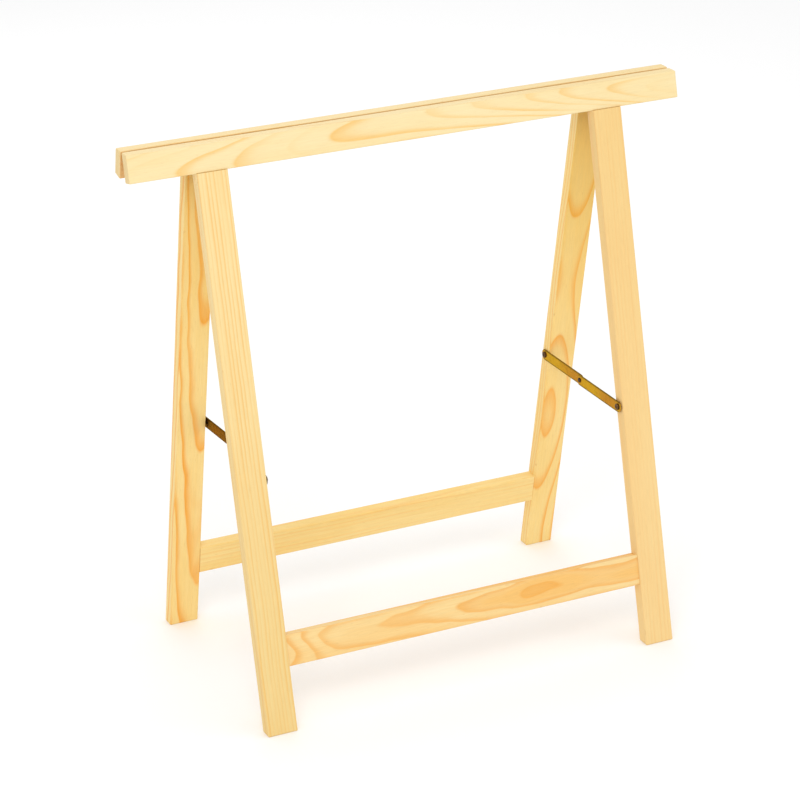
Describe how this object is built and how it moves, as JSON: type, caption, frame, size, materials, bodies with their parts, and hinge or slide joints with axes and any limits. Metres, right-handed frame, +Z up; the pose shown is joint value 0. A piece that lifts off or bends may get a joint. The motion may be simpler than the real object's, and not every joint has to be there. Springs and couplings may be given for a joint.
{
  "type": "folding sawhorse",
  "caption": "Folding wooden sawhorse: two pine frames hinged under a level top rail pair, held open by folding metal stays between the legs.",
  "frame": {"origin": "on the floor under the middle of the trestle, midway between the four feet", "axes": "+X along the rails to the right, +Y from the front frame to the back frame, +Z up"},
  "size_m": [0.775, 0.376, 0.75],
  "materials": {
    "pine_rail": "planed, unfinished",
    "pine_leg": "planed, unfinished",
    "pine_stretcher": "planed, unfinished",
    "dowel_beech": "fluted, glued",
    "yellow_plated_steel": "bright yellow plating",
    "dark_steel": "dark oiled",
    "zinc_plated_steel": "bright zinc plating"
  },
  "bodies": {
    "front_frame": {"front_hinge_screws": "zinc_plated_steel", "front_left_leg": "pine_leg", "front_rail": "pine_rail", "front_rail_dowels": "dowel_beech", "front_right_leg": "pine_leg", "front_stretcher": "pine_stretcher", "front_stretcher_dowels": "dowel_beech", "left_hinge_front_leaf": "zinc_plated_steel", "left_hinge_pin": "zinc_plated_steel", "left_stay_front_screw": "dark_steel", "right_hinge_front_leaf": "zinc_plated_steel", "right_hinge_pin": "zinc_plated_steel", "right_stay_front_screw": "dark_steel", "right_stay_front_spacer": "yellow_plated_steel"},
    "back_frame": {"back_hinge_screws": "zinc_plated_steel", "back_left_leg": "pine_leg", "back_rail": "pine_rail", "back_rail_dowels": "dowel_beech", "back_right_leg": "pine_leg", "back_stretcher": "pine_stretcher", "back_stretcher_dowels": "dowel_beech", "left_hinge_back_leaf": "zinc_plated_steel", "left_stay_back_screw": "dark_steel", "left_stay_back_spacer": "yellow_plated_steel", "right_hinge_back_leaf": "zinc_plated_steel", "right_stay_back_screw": "dark_steel"},
    "right_front_link": {"right_stay_front_link": "yellow_plated_steel", "right_stay_rivet_head": "dark_steel"},
    "right_back_link": {"right_stay_back_link": "yellow_plated_steel", "right_stay_rivet_tail": "dark_steel"},
    "left_front_link": {"left_stay_front_link": "yellow_plated_steel", "left_stay_rivet_tail": "dark_steel"},
    "left_back_link": {"left_stay_back_link": "yellow_plated_steel", "left_stay_rivet_head": "dark_steel"}
  },
  "joints": [
    {"name": "fold", "type": "hinge", "parent": "front_frame", "child": "back_frame", "pos_m": [0, 0, 0.74217], "axis": [-1, 0, 0], "range_deg": [0, 25.08]},
    {"name": "right_front_link_turn", "type": "hinge", "parent": "front_frame", "child": "right_front_link", "pos_m": [0.2585, -0.10659, 0.324], "axis": [1, 0, 0], "range_deg": [0, 70.32]},
    {"name": "right_back_link_turn", "type": "hinge", "parent": "back_frame", "child": "right_back_link", "pos_m": [0.2585, 0.10659, 0.324], "axis": [-1, 0, 0], "range_deg": [0, 70.32]},
    {"name": "left_front_link_turn", "type": "hinge", "parent": "front_frame", "child": "left_front_link", "pos_m": [-0.2585, -0.10659, 0.324], "axis": [1, 0, 0], "range_deg": [0, 66.83]},
    {"name": "left_back_link_turn", "type": "hinge", "parent": "back_frame", "child": "left_back_link", "pos_m": [-0.2585, 0.10659, 0.324], "axis": [-1, 0, 0], "range_deg": [0, 66.83]}
  ],
  "couplings": [
    {"joint": "right_front_link_turn", "follows": "fold", "ratio": 2.8038},
    {"joint": "right_back_link_turn", "follows": "fold", "ratio": 2.8038},
    {"joint": "left_front_link_turn", "follows": "fold", "ratio": 2.6648},
    {"joint": "left_back_link_turn", "follows": "fold", "ratio": 2.6648}
  ]
}
